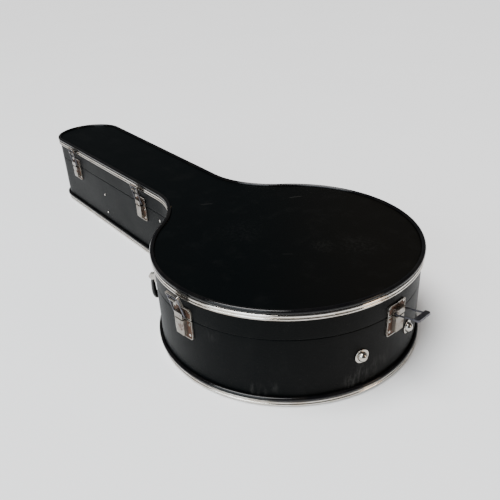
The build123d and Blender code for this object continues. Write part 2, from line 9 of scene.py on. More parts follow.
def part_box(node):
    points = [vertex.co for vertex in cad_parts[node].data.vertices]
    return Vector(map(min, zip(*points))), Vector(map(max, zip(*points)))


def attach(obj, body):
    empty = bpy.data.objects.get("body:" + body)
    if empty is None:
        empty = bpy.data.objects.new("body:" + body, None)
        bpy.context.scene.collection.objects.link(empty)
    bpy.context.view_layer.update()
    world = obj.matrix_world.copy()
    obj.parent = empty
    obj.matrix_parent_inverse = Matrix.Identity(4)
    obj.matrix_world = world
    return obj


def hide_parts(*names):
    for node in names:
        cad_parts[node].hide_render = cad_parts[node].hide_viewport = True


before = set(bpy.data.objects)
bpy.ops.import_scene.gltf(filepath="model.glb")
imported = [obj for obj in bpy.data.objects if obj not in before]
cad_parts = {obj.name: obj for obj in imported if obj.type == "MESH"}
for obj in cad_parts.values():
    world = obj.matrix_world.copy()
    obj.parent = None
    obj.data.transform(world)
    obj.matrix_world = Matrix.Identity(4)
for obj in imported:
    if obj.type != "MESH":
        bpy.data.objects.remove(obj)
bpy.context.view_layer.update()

MM = 0.001

# ---------------------------------------------------------------- sizes, from the frame
COVER_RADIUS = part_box("base_side_covering")[1].y     # covered wall of the round body
COVER_INSET = 4 * MM                                 # insets are measured inwards from the metal rim
RIM_RADIUS = COVER_RADIUS + COVER_INSET
NECK_END_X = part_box("base_side_covering")[1].x + COVER_INSET
NECK_END_RADIUS = 75 * MM
NECK_TAPER = math.radians(1.04)
SHOULDER_RADIUS = 154 * MM
WALL_INNER_INSET = 11 * MM
LINING_INSET = 19 * MM
PANEL_INSET = RIM_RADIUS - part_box("lid_top_covering")[1].y
FLOOR_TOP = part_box("base_floor_panel")[1].z
FLOOR_LINING_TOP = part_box("base_floor_lining")[1].z
WALL_LINING_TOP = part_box("base_wall_lining")[1].z
BASE_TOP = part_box("base_side_covering")[1].z
LID_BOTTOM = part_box("lid_side_covering")[0].z
LID_SIDE_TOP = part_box("lid_side_covering")[1].z
TOP_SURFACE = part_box("lid_top_covering")[1].z
TOP_STRIP = (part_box("lid_top_strip")[0].z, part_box("lid_top_strip")[1].z)
BOTTOM_STRIP = (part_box("base_bottom_strip")[0].z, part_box("base_bottom_strip")[1].z)
TOP_BEAD_RADIUS = 3.4 * MM
BOTTOM_BEAD_RADIUS = 3.25 * MM
NAIL_SPACING = 88 * MM
NAIL_RADIUS = 1.1 * MM
HINGE_LEAF_FACE = COVER_RADIUS + 1.3 * MM            # outer face of the hinges' leaves
BOTTOM_BEAD_Z = (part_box("base_bottom_bead")[0].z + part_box("base_bottom_bead")[1].z) / 2


# ---------------------------------------------------------------- outline of the case
def outline_stations(step):
    """Points round the outside of the rim with their outward normals, counter-clockwise, about step apart."""
    side_normal = Vector((-math.sin(NECK_TAPER), math.cos(NECK_TAPER)))
    side_direction = Vector((math.cos(NECK_TAPER), math.sin(NECK_TAPER)))
    end_centre = Vector((NECK_END_X - NECK_END_RADIUS, 0))
    offset = end_centre.dot(side_normal) + NECK_END_RADIUS
    along = math.sqrt((RIM_RADIUS + SHOULDER_RADIUS) ** 2 - (offset + SHOULDER_RADIUS) ** 2)
    shoulder = side_normal * (offset + SHOULDER_RADIUS) + side_direction * along
    body_angle = math.atan2(shoulder.y, shoulder.x)
    half_turn = math.pi / 2 + NECK_TAPER
    stations = []

    def arc(centre, radius, start, stop, facing):
        count = max(2, round(abs(stop - start) * radius / step))
        for i in range(count):
            a = start + (stop - start) * i / count
            ray = Vector((math.cos(a), math.sin(a)))
            stations.append((centre + ray * radius, ray * facing))

    def line(start, stop, facing):
        count = max(2, round((stop - start).length / step))
        for i in range(count):
            stations.append((start.lerp(stop, i / count), facing))

    def mirror(v):
        return Vector((v.x, -v.y))

    side_start = shoulder - side_normal * SHOULDER_RADIUS
    side_end = end_centre + side_normal * NECK_END_RADIUS
    arc(Vector((0, 0)), RIM_RADIUS, body_angle, 2 * math.pi - body_angle, 1)
    arc(mirror(shoulder), SHOULDER_RADIUS, math.pi - body_angle, math.pi / 2 - NECK_TAPER, -1)
    line(mirror(side_start), mirror(side_end), mirror(side_normal))
    arc(end_centre, NECK_END_RADIUS, -half_turn, half_turn, 1)
    line(side_end, side_start, side_normal)
    arc(shoulder, SHOULDER_RADIUS, NECK_TAPER - math.pi / 2, body_angle - math.pi, -1)
    return stations


def wall_place(x):
    """Point and outward normal of the covered neck wall at x, on the latch side."""
    normal = Vector((-math.sin(NECK_TAPER), math.cos(NECK_TAPER)))
    offset = (NECK_END_X - NECK_END_RADIUS) * normal.x + NECK_END_RADIUS - COVER_INSET
    return Vector((x, (offset - x * normal.x) / normal.y)), normal


# ---------------------------------------------------------------- mesh helpers
def new_object(name, verts, faces, smooth=True):
    mesh = bpy.data.meshes.new(name)
    mesh.from_pydata([tuple(v) for v in verts], [], faces)
    mesh.validate()
    obj = bpy.data.objects.new(name, mesh)
    bpy.context.scene.collection.objects.link(obj)
    fix_normals(obj)
    if smooth:
        for polygon in mesh.polygons:
            polygon.use_smooth = True
    return obj


def fix_normals(obj):
    bm = bmesh.new()
    bm.from_mesh(obj.data)
    bmesh.ops.recalc_face_normals(bm, faces=bm.faces)
    bm.to_mesh(obj.data)
    bm.free()


def sharpen(obj, degrees=35):
    """Keep hard edges hard on a smooth-shaded mesh."""
    limit = math.radians(degrees)
    bm = bmesh.new()
    bm.from_mesh(obj.data)
    for edge in bm.edges:
        if len(edge.link_faces) == 2 and edge.calc_face_angle(0) > limit:
            edge.smooth = False
    bm.to_mesh(obj.data)
    bm.free()


def bevel(obj, width, segments=3, angle=35):
    modifier = obj.modifiers.new("bevel", "BEVEL")
    modifier.width = width
    modifier.segments = segments
    modifier.limit_method = "ANGLE"
    modifier.angle_limit = math.radians(angle)
    modifier.harden_normals = True


def sweep(name, profile, step, wobble=None):
    """Closed tube round the case.  profile is a closed list of (outwards from the rim, z)."""
    stations = outline_stations(step)
    verts = []
    for point, normal in stations:
        for out, z in profile:
            shift = wobble(point, z) if wobble else 0.0
            spot = point + normal * (out + shift)
            verts.append((spot.x, spot.y, z))
    rows, columns = len(stations), len(profile)
    faces = []
    for i in range(rows):
        j = (i + 1) % rows
        for k in range(columns):
            m = (k + 1) % columns
            faces.append((i * columns + k, j * columns + k, j * columns + m, i * columns + m))
    return new_object(name, verts, faces)


def arc_points(centre, radius, start, stop, count):
    """Points of an arc in the profile plane, angles in degrees."""
    points = []
    for i in range(count + 1):
        a = math.radians(start + (stop - start) * i / count)
        points.append((centre[0] + radius * math.cos(a), centre[1] + radius * math.sin(a)))
    return points


def filled_outline(name, inset, rows, cell=0.03, lift=None):
    """Sheet that fills the outline.  rows lists (extra inset, z) from its rim inwards.

    The middle is cut in square cells, so that lift can shape it.
    """
    stations = outline_stations(4 * MM)
    bm = bmesh.new()
    rings = []
    for extra, z in rows:
        ring = []
        for point, normal in stations:
            spot = point - normal * (inset + extra)
            ring.append(bm.verts.new((spot.x, spot.y, z)))
        rings.append(ring)
    count = len(stations)
    for a, b in zip(rings, rings[1:]):
        for i in range(count):
            j = (i + 1) % count
            bm.faces.new((a[i], a[j], b[j], b[i]))
    middle = bm.faces.new(rings[-1])
    middle_geometry = [middle] + list(middle.edges) + list(middle.verts)
    low = Vector((-RIM_RADIUS, -RIM_RADIUS))
    for axis, start, stop in ((0, low.x, NECK_END_X), (1, low.y, RIM_RADIUS)):
        place = start + cell
        while place < stop:
            at = Vector((place, 0, 0)) if axis == 0 else Vector((0, place, 0))
            direction = Vector((1, 0, 0)) if axis == 0 else Vector((0, 1, 0))
            cut = bmesh.ops.bisect_plane(bm, geom=middle_geometry, plane_co=at, plane_no=direction)
            middle_geometry = cut["geom"]
            place += cell
    if lift:
        for vert in bm.verts:
            vert.co.z += lift(vert.co)
    mesh = bpy.data.meshes.new(name)
    bm.to_mesh(mesh)
    bm.free()
    obj = bpy.data.objects.new(name, mesh)
    bpy.context.scene.collection.objects.link(obj)
    for polygon in mesh.polygons:
        polygon.use_smooth = True
    fix_normals(obj)
    return obj


def place_object(obj, plane):
    """Bake a placement matrix into the mesh, so that the object stays at the origin."""
    obj.data.transform(plane)
    obj.data.update()


# ---------------------------------------------------------------- materials
class Shader:
    """Small builder for a procedural material in object coordinates (metres)."""

    def __init__(self, name):
        self.material = bpy.data.materials.new(name)
        self.material.use_nodes = True
        self.nodes = self.material.node_tree.nodes
        self.links = self.material.node_tree.links
        self.bsdf = self.nodes["Principled BSDF"]
        self.coordinates = self.nodes.new("ShaderNodeTexCoord").outputs["Object"]

    def link(self, output, socket):
        self.links.new(output, socket)

    def feed(self, socket, value):
        if isinstance(value, bpy.types.NodeSocket):
            self.links.new(value, socket)
        else:
            socket.default_value = value

    def noise(self, scale, detail=3.0, roughness=0.5, stretch=None, distortion=0.0):
        node = self.nodes.new("ShaderNodeTexNoise")
        node.inputs["Scale"].default_value = scale
        node.inputs["Detail"].default_value = detail
        node.inputs["Roughness"].default_value = roughness
        node.inputs["Distortion"].default_value = distortion
        self.link(self.stretched(stretch), node.inputs["Vector"])
        return node.outputs["Fac"]

    def stretched(self, stretch):
        if stretch is None:
            return self.coordinates
        node = self.nodes.new("ShaderNodeMapping")
        node.inputs["Scale"].default_value = stretch
        self.link(self.coordinates, node.inputs["Vector"])
        return node.outputs["Vector"]

    def voronoi(self, scale, feature="F1", stretch=None, randomness=1.0):
        node = self.nodes.new("ShaderNodeTexVoronoi")
        node.feature = feature
        node.inputs["Scale"].default_value = scale
        node.inputs["Randomness"].default_value = randomness
        self.link(self.stretched(stretch), node.inputs["Vector"])
        return node.outputs["Distance"]

    def ramp(self, value, low, high, out_low=0.0, out_high=1.0):
        node = self.nodes.new("ShaderNodeMapRange")
        node.interpolation_type = "SMOOTHSTEP"
        node.inputs["From Min"].default_value = low
        node.inputs["From Max"].default_value = high
        node.inputs["To Min"].default_value = out_low
        node.inputs["To Max"].default_value = out_high
        self.link(value, node.inputs["Value"])
        return node.outputs["Result"]

    def math(self, operation, a, b=0.0):
        node = self.nodes.new("ShaderNodeMath")
        node.operation = operation
        self.feed(node.inputs[0], a)
        self.feed(node.inputs[1], b)
        return node.outputs[0]

    def mix(self, factor, a, b):
        node = self.nodes.new("ShaderNodeMix")
        node.data_type = "RGBA"
        self.feed(node.inputs["Factor"], factor)
        sockets = [s for s in node.inputs if s.type == "RGBA"]
        self.feed(sockets[0], a)
        self.feed(sockets[1], b)
        return [s for s in node.outputs if s.type == "RGBA"][0]

    def bump(self, height, strength, distance, normal=None):
        node = self.nodes.new("ShaderNodeBump")
        node.inputs["Strength"].default_value = strength
        node.inputs["Distance"].default_value = distance
        self.link(height, node.inputs["Height"])
        if normal is not None:
            self.link(normal, node.inputs["Normal"])
        return node.outputs["Normal"]

    def blob(self, centre, radius):
        """1 at centre, falling to 0 at radius."""
        node = self.nodes.new("ShaderNodeVectorMath")
        node.operation = "DISTANCE"
        self.link(self.coordinates, node.inputs[0])
        node.inputs[1].default_value = centre
        return self.ramp(node.outputs["Value"], radius, radius * 0.15)

    def scratch(self, start, stop, width):
        """Thin line from start to stop."""
        start, stop = Vector(start), Vector(stop)
        along = (stop - start).normalized()
        across = Vector((-along.y, along.x, 0)) if abs(along.z) < 0.5 else Vector((0, 0, 1)).cross(along)
        wander = self.math("MULTIPLY", self.math("SUBTRACT", self.noise(60, 1), 0.5), width * 5)
        masks = []
        for direction, half in ((across, width), (along, (stop - start).length / 2)):
            node = self.nodes.new("ShaderNodeVectorMath")
            node.operation = "DOT_PRODUCT"
            self.link(self.coordinates, node.inputs[0])
            node.inputs[1].default_value = direction
            centre = direction.dot((start + stop) / 2)
            value = self.math("SUBTRACT", node.outputs["Value"], centre)
            if direction is across:
                value = self.math("ADD", value, wander)
            masks.append(self.ramp(self.math("ABSOLUTE", value), half, half * 0.5))
        return self.math("MULTIPLY", masks[0], masks[1])

    def set(self, **values):
        names = {"color": "Base Color", "roughness": "Roughness", "metallic": "Metallic", "normal": "Normal",
                 "specular": "Specular IOR Level", "coat": "Coat Weight", "coat_roughness": "Coat Roughness",
                 "sheen": "Sheen Weight", "sheen_roughness": "Sheen Roughness", "sheen_tint": "Sheen Tint"}
        for key, value in values.items():
            self.feed(self.bsdf.inputs[names[key]], value)
        return self.material


def leatherette():
    """Satin black vinyl with a fine pebble grain, dusty smudges, scuffs and two fine scratches on the lid."""
    s = Shader("leatherette")
    grain = s.voronoi(620, "SMOOTH_F1")
    fine = s.noise(1500, 2)
    broad = s.noise(7, 4, 0.6)
    smear = s.noise(26, 5, 0.65, stretch=(1.0, 1.0, 0.45))
    # painted light: the black is tinted cool towards +X, +Y, where the cool window lamp falls, and warm brown
    # towards -X, -Y, where the warm lamp falls
    across = s.nodes.new("ShaderNodeVectorMath")
    across.operation = "DOT_PRODUCT"
    s.link(s.coordinates, across.inputs[0])
    across.inputs[1].default_value = (0.6, 0.8, 0.0)
    painted_side_tint = s.ramp(s.math("ADD", across.outputs["Value"], s.math("MULTIPLY", broad, 0.08)), 0.13, -0.12)
    black = s.mix(painted_side_tint, (0.0009, 0.0015, 0.0017, 1), (0.0030, 0.0027, 0.0022, 1))
    dust = s.math("MULTIPLY", s.ramp(smear, 0.50, 0.78), 0.15)
    smudges = None
    for centre, radius, weight in SCUFFS:
        spot = s.math("MULTIPLY", s.blob(centre, radius), weight)
        smudges = spot if smudges is None else s.math("MAXIMUM", smudges, spot)
    speckle = s.ramp(s.noise(190, 4, 0.7, stretch=(1.0, 1.0, 0.28)), 0.42, 0.74)
    smudges = s.math("MULTIPLY", smudges, speckle)
    for start, stop, weight in SCRATCHES:
        line = s.math("MULTIPLY", s.scratch(start, stop, 0.55 * MM), weight)
        smudges = s.math("MAXIMUM", smudges, line)
    wear = s.math("MINIMUM", s.math("ADD", s.math("MULTIPLY", dust, 0.16), smudges), 1.0)
    color = s.mix(wear, black, (0.075, 0.073, 0.069, 1))
    rough = s.math("ADD", s.ramp(broad, 0.25, 0.75, 0.38, 0.46), s.math("MULTIPLY", wear, 0.3))
    height = s.math("ADD", grain, s.math("MULTIPLY", fine, 0.3))
    normal = s.bump(height, 0.75, 0.34 * MM)
    normal = s.bump(s.noise(16, 2), 0.25, 2.0 * MM, normal)
    return s.set(color=color, roughness=rough, normal=normal, specular=0.05)


def gloss_bead():
    s = Shader("gloss_bead")
    broad = s.noise(40, 3)
    color = s.mix(s.ramp(broad, 0.35, 0.7), (0.002, 0.002, 0.0024, 1), (0.005, 0.0046, 0.0043, 1))
    rough = s.ramp(s.noise(300, 4), 0.35, 0.7, 0.08, 0.18)
    return s.set(color=color, roughness=rough, normal=s.bump(s.noise(120, 2), 0.10, 0.4 * MM), specular=0.22)


def nickel(name, stain, low_rough, high_rough, tone, painted_shade_band=None):
    """Nickel plate with brown stains where it is worn; stain is how much of it they cover.

    The last argument is a pair of heights: painted shade darkens the plate to a dark brown at the first and
    fades out by the second, standing in for the dark surroundings reflected in that lobe of a strip; the
    tarnish mottles it a little.
    """
    s = Shader(name)
    patches = s.noise(85, 6, 0.62, distortion=0.4)
    specks = s.noise(700, 4, 0.7)
    rust = s.ramp(patches, 0.70 - 0.25 * stain, 0.82 - 0.25 * stain)
    rust = s.math("MULTIPLY", rust, s.ramp(specks, 0.30, 0.60, 0.45, 1.0))
    tarnish = s.ramp(s.noise(40, 4, 0.6), 0.30, 0.75)
    metal = s.mix(tarnish, tone, (tone[0] * 0.80, tone[1] * 0.75, tone[2] * 0.68, 1))
    # painted shade: one lobe of the strip darkened towards brown, for the dark surroundings it reflects
    if painted_shade_band:
        height = s.nodes.new("ShaderNodeSeparateXYZ")
        s.link(s.coordinates, height.inputs[0])
        shaded_lobe = s.ramp(height.outputs["Z"], painted_shade_band[1], painted_shade_band[0])
        painted_lobe_shade = s.math("MULTIPLY", shaded_lobe, s.ramp(tarnish, 0, 1, 0.70, 1.0))
        metal = s.mix(painted_lobe_shade, metal, (tone[0] * 0.20, tone[1] * 0.17, tone[2] * 0.14, 1))
    color = s.mix(rust, metal, (0.080, 0.036, 0.020, 1))
    rough = s.math("ADD", s.ramp(tarnish, 0.0, 1.0, low_rough, high_rough), s.math("MULTIPLY", rust, 0.4))
    metallic = s.math("SUBTRACT", 1.0, s.math("MULTIPLY", rust, 0.75))
    relief = s.math("ADD", s.noise(220, 3), s.math("MULTIPLY", rust, 0.8))
    return s.set(color=color, roughness=rough, metallic=metallic, normal=s.bump(relief, 0.10, 0.3 * MM))


def tarnished_wire():
    s = Shader("tarnished_wire")
    patches = s.noise(130, 4, 0.6)
    color = s.mix(s.ramp(patches, 0.4, 0.7), (0.10, 0.10, 0.115, 1), (0.050, 0.045, 0.048, 1))
    rough = s.ramp(s.noise(500, 3), 0.3, 0.7, 0.28, 0.48)
    return s.set(color=color, roughness=rough, metallic=1.0, normal=s.bump(s.noise(900, 2), 0.1, 0.1 * MM))


def plywood():
    s = Shader("plywood")
    rings = s.noise(18, 5, 0.6, stretch=(1.0, 1.0, 14.0), distortion=0.6)
    fibres = s.noise(420, 3, 0.6, stretch=(1.0, 0.25, 1.0))
    color = s.mix(s.ramp(rings, 0.3, 0.7), (0.42, 0.28, 0.15, 1), (0.60, 0.44, 0.27, 1))
    color = s.mix(s.math("MULTIPLY", s.ramp(fibres, 0.45, 0.75), 0.35), color, (0.26, 0.16, 0.08, 1))
    return s.set(color=color, roughness=0.72, normal=s.bump(fibres, 0.2, 0.2 * MM))


def plush(name, dark, light):
    """Short crushed pile: soft sheen with brushed patches."""
    s = Shader(name)
    patches = s.noise(22, 4, 0.6, distortion=0.8)
    pile = s.noise(1300, 3, 0.7)
    strands = s.voronoi(900)
    color = s.mix(s.ramp(patches, 0.35, 0.68), dark, light)
    depth = tuple(c * 0.45 for c in dark[:3]) + (1,)
    color = s.mix(s.math("MULTIPLY", s.ramp(pile, 0.35, 0.65), 0.45), color, depth)
    height = s.math("ADD", pile, strands)
    normal = s.bump(height, 0.65, 0.5 * MM)
    normal = s.bump(patches, 0.35, 2.5 * MM, normal)
    tint = tuple(min(1.0, c * 4) for c in light[:3]) + (1,)
    return s.set(color=color, roughness=0.92, normal=normal, sheen=0.6, sheen_roughness=0.35, sheen_tint=tint,
                 specular=0.15)


def ribbon():
    s = Shader("ribbon")
    weave = s.voronoi(1100, stretch=(1.0, 2.2, 1.0), randomness=0.15)
    color = s.mix(s.ramp(weave, 0.2, 0.6), (0.11, 0.008, 0.012, 1), (0.045, 0.004, 0.006, 1))
    return s.set(color=color, roughness=0.55, normal=s.bump(weave, 0.5, 0.2 * MM), sheen=0.3, specular=0.3)


def grip_leather():
    s = Shader("grip_leather")
    grain = s.voronoi(750, "SMOOTH_F1")
    worn = s.ramp(s.noise(60, 4, 0.6), 0.5, 0.75)
    color = s.mix(s.math("MULTIPLY", worn, 0.5), (0.0075, 0.0072, 0.0070, 1), (0.030, 0.026, 0.023, 1))
    rough = s.ramp(s.noise(45, 3), 0.3, 0.7, 0.32, 0.48)
    return s.set(color=color, roughness=rough, normal=s.bump(grain, 0.25, 0.2 * MM), specular=0.5)


def thread():
    s = Shader("thread")
    twist = s.voronoi(1800)
    color = s.mix(twist, (0.020, 0.019, 0.018, 1), (0.045, 0.042, 0.040, 1))
    return s.set(color=color, roughness=0.75, normal=s.bump(twist, 0.4, 0.1 * MM))


# scuffs on the covering: place on the case, radius and strength
def on_body(angle, z):
    a = math.radians(angle)
    return (COVER_RADIUS * math.cos(a), COVER_RADIUS * math.sin(a), z)


SCUFFS = (
    (on_body(171, 33 * MM), 34 * MM, 0.42),
    (on_body(166, 22 * MM), 26 * MM, 0.42),
    (on_body(180, 40 * MM), 22 * MM, 0.30),
    (on_body(128, 20 * MM), 20 * MM, 0.26),
    (on_body(134, 30 * MM), 15 * MM, 0.22),
    (on_body(110, 100 * MM), 20 * MM, 0.14),
    ((-60 * MM, -20 * MM, TOP_SURFACE), 26 * MM, 0.10),
    ((-95 * MM, -62 * MM, TOP_SURFACE), 46 * MM, 0.06),
    ((60 * MM, 40 * MM, TOP_SURFACE), 60 * MM, 0.04),
)
SCRATCHES = (
    ((190 * MM, 34 * MM, TOP_SURFACE), (175 * MM, 12.5 * MM, TOP_SURFACE), 0.36),
    ((107 * MM, -96 * MM, TOP_SURFACE), (95 * MM, -122 * MM, TOP_SURFACE), 0.42),
    ((-39 * MM, 42 * MM, TOP_SURFACE), (-52 * MM, 27 * MM, TOP_SURFACE), 0.12),
)

LEATHERETTE = leatherette()
BEAD = gloss_bead()
TRIM_TONE = (0.70, 0.67, 0.63, 1)
# painted shade on one lobe of each strip: the lid strip's lower lobe and the base strip's upper lobe
LID_TRIM = nickel("lid_trim", 0.22, 0.08, 0.22, TRIM_TONE, (TOP_STRIP[0], TOP_STRIP[0] + 4.6 * MM))
BASE_TRIM = nickel("base_trim", 0.25, 0.08, 0.24, TRIM_TONE, (BOTTOM_STRIP[1], BOTTOM_STRIP[1] - 3.6 * MM))
LATCH = nickel("latch_nickel", 0.62, 0.22, 0.44, (0.28, 0.265, 0.245, 1))
LATCH_WORN = nickel("latch_worn", 1.25, 0.34, 0.55, (0.10, 0.070, 0.052, 1))
HARDWARE = nickel("hardware", 0.15, 0.14, 0.26, (0.42, 0.405, 0.38, 1))
BUMPER = nickel("bumper", 0.02, 0.10, 0.18, (0.48, 0.46, 0.43, 1))
HINGE = nickel("hinge_steel", 0.52, 0.24, 0.42, (0.27, 0.262, 0.25, 1))
WIRE = tarnished_wire()
PLYWOOD = plywood()
PLUSH = plush("plush", (0.075, 0.004, 0.010, 1), (0.165, 0.012, 0.024, 1))
RIBBON = ribbon()
GRIP = grip_leather()
THREAD = thread()


def finish_piece(obj, material, body, slot, *nodes):
    """Give a piece its material and body, and hide the CAD nodes that it stands for; slot is not used."""
    obj.data.materials.clear()
    obj.data.materials.append(material)
    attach(obj, body)
    if nodes:
        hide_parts(*nodes)
    return obj


def repaint(material, *nodes):
    for node in nodes:
        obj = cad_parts[node]
        for place in obj.material_slots:
            place.material = material


# ---------------------------------------------------------------- shells
def hand_laid(point, z):
    """Slight unevenness of vinyl glued over plywood."""
    return 0.22 * MM * noise.noise(Vector((point.x * 14, point.y * 14, z * 22)))


def wall_skin(name, bottom, top, open_edge_up):
    """Skin of a side wall that is turned over the edge at the parting line."""
    rows = 12
    turn = 1.1 * MM
    inner = -WALL_INNER_INSET - 0.1 * MM
    outer = -COVER_INSET
    thickness = 0.9 * MM
    wrap = 0.12 * MM
    if open_edge_up:
        profile = [(outer, bottom + (top - turn - bottom) * i / rows) for i in range(rows + 1)]
        profile += arc_points((outer - turn, top - turn + wrap), turn, 15, 90, 5)
        profile += [(inner, top + wrap), (inner, top), (outer - thickness, top), (outer - thickness, bottom)]
    else:
        profile = [(outer, top - (top - bottom - turn) * i / rows) for i in range(rows + 1)]
        profile += arc_points((outer - turn, bottom + turn - wrap), turn, -15, -90, 5)
        profile += [(inner, bottom - wrap), (inner, bottom)]
        profile += [(outer - thickness, bottom), (outer - thickness, top)]
    skin = sweep(name, profile, 5 * MM, hand_laid)
    sharpen(skin, 50)
    return skin


def top_skin():
    """Skin of the lid's top: it dips a little at its edge, beside the bead, and is slightly uneven."""
    def uneven(co):
        return 0.10 * MM * noise.noise(Vector((co.x * 9, co.y * 9, 0)))
    rows = [(0, TOP_SURFACE - 0.9 * MM), (0, TOP_SURFACE - 0.55 * MM),
            (0.5 * MM, TOP_SURFACE - 0.35 * MM), (1.5 * MM, TOP_SURFACE - 0.18 * MM),
            (3.0 * MM, TOP_SURFACE - 0.12 * MM), (6.0 * MM, TOP_SURFACE - 0.1 * MM)]
    return filled_outline("lid_top_skin", PANEL_INSET, rows, lift=uneven)


def bottom_skin():
    rows = [(0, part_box("base_bottom_covering")[1].z), (0, 0.3 * MM), (0.3 * MM, 0.0), (2 * MM, 0.0)]
    return filled_outline("base_bottom_skin", COVER_INSET, rows, cell=0.06)


def round_bead(name, inset, z, radius, cut_inset=None):
    """Round bead; cut_inset flattens its back against the wall."""
    points = []
    for i in range(20):
        a = 2 * math.pi * i / 20
        out = -inset + radius * math.cos(a)
        if cut_inset is not None:
            out = max(out, -cut_inset)
        points.append((out, z + radius * math.sin(a)))
    return sweep(name, points, 4 * MM)


def metal_strip(name, bottom, top):
    """Rolled strip with two lobes, as wide as the frame's strip."""
    height = top - bottom
    lobe = height / 4
    profile = [(-COVER_INSET, bottom)]
    for centre in (bottom + lobe, top - lobe):
        profile += arc_points((-COVER_INSET + 1.4 * MM, centre), lobe * 0.98, -90, 90, 10)
    profile.append((-COVER_INSET, top))
    strip = sweep(name, profile, 4 * MM)
    sharpen(strip, 60)
    return strip


def dome_heads(name, places, radius):
    """Low round heads.  places lists (centre of the head's rim, horizontal direction it faces)."""
    verts, faces = [], []
    for centre, out in places:
        base = len(verts)
        tangent = Vector((-out.y, out.x, 0))
        verts.append(centre + out * radius * 0.55)
        for ring, height in ((0.55, 0.42), (1.0, 0.0), (1.0, -0.6)):
            for k in range(10):
                a = 2 * math.pi * k / 10
                spot = centre + (tangent * math.cos(a) + Vector((0, 0, 1)) * math.sin(a)) * radius * ring
                verts.append(spot + out * radius * height)
        for k in range(10):
            m = (k + 1) % 10
            faces.append((base, base + 1 + k, base + 1 + m))
            for row in (0, 1):
                a, b = base + 1 + row * 10, base + 11 + row * 10
                faces.append((a + k, b + k, b + m, a + m))
    return new_object(name, verts, faces)


def strip_nails(name, z, spacing, radius):
    """Small brad heads in the groove of a metal strip."""
    places = []
    for point, normal in outline_stations(spacing):
        out = Vector((normal.x, normal.y, 0))
        places.append((Vector((point.x, point.y, z)) + out * (-COVER_INSET + 2.6 * MM), out))
    return dome_heads(name, places, radius)


def hinge_rivets(half):
    """Four rivet heads on each leaf of one half of the hinges: base or lid."""
    places = []
    for number in (1, 2):
        low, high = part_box(f"hinge_{half}_leaf_{number}")
        far_edge, inwards = (low.z, 1) if half == "base" else (high.z, -1)
        for x in ((low.x + high.x) / 2 - 13 * MM, (low.x + high.x) / 2 + 13 * MM):
            out = Vector((x, -math.sqrt(HINGE_LEAF_FACE ** 2 - x ** 2), 0)).normalized()
            for rise in (4.5 * MM, 12.5 * MM):
                places.append((out * HINGE_LEAF_FACE + Vector((0, 0, far_edge + inwards * rise)), out))
    return dome_heads(f"hinge_{half}_rivets", places, 1.9 * MM)


finish_piece(wall_skin("base_side_skin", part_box("base_side_covering")[0].z, BASE_TOP, True),
             LEATHERETTE, "base", "leatherette", "base_side_covering")
finish_piece(wall_skin("lid_side_skin", LID_BOTTOM, LID_SIDE_TOP, False),
             LEATHERETTE, "lid", "leatherette", "lid_side_covering")
finish_piece(top_skin(), LEATHERETTE, "lid", "leatherette", "lid_top_covering")
finish_piece(bottom_skin(), LEATHERETTE, "base", "leatherette", "base_bottom_covering")
finish_piece(round_bead("lid_bead", 3.5 * MM, TOP_SURFACE, TOP_BEAD_RADIUS),
             BEAD, "lid", "black_bead", "lid_top_bead")
finish_piece(round_bead("base_bead", 1.75 * MM, BOTTOM_BEAD_Z, BOTTOM_BEAD_RADIUS, COVER_INSET),
             BEAD, "base", "black_bead", "base_bottom_bead")
finish_piece(metal_strip("lid_strip", *TOP_STRIP), LID_TRIM, "lid", "nickel_trim", "lid_top_strip")
finish_piece(metal_strip("base_strip", *BOTTOM_STRIP), BASE_TRIM, "base", "nickel_trim", "base_bottom_strip")
for half, heights in (("lid", TOP_STRIP), ("base", BOTTOM_STRIP)):
    nails = strip_nails(f"{half}_strip_nails", sum(heights) / 2, NAIL_SPACING, NAIL_RADIUS)
    finish_piece(nails, HARDWARE, half, "hardware")
repaint(PLYWOOD, "base_floor_panel", "lid_top_panel")
# the covering is turned down inside the walls, as far as the linings
repaint(LEATHERETTE, "base_locating_lip", "base_side_wall", "lid_side_wall")


# ---------------------------------------------------------------- padded interior
def wall_pad():
    """Lining of the base wall: a padded band with a rolled upper edge."""
    back = -WALL_INNER_INSET - 0.15 * MM
    front = -LINING_INSET
    roll = (front - back) / -2
    top = WALL_LINING_TOP - roll
    profile = [(back, FLOOR_TOP + 0.2 * MM), (back, top)]
    profile += arc_points((back - roll, top), roll, 20, 180, 9)
    rows = 10
    for i in range(1, rows + 1):
        share = i / rows
        swell = math.sin(math.pi * min(share, 0.5)) ** 0.5
        profile.append((front + (1 - swell) * 1.6 * MM, top + (FLOOR_LINING_TOP - top) * share))
    profile.append((front, FLOOR_TOP + 0.2 * MM))
    return sweep("base_wall_pad", profile, 6 * MM, crushed)


def crushed(point, z):
    """Gentle hand-laid dents of padding, inwards only."""
    dent = noise.noise(Vector((point.x * 30, point.y * 30, z * 30)))
    return 0.35 * MM * max(0.0, dent)


def floor_pad():
    def dents(co):
        return -0.5 * MM * max(0.0, noise.noise(Vector((co.x * 18, co.y * 18, 3.0))))
    rows = [(0, FLOOR_TOP + 0.3 * MM), (0, FLOOR_LINING_TOP - 2.2 * MM),
            (0.7 * MM, FLOOR_LINING_TOP - 0.8 * MM), (2.4 * MM, FLOOR_LINING_TOP - 0.15 * MM),
            (6 * MM, FLOOR_LINING_TOP)]
    return filled_outline("base_floor_pad", LINING_INSET + 0.1 * MM, rows, cell=0.02, lift=dents)


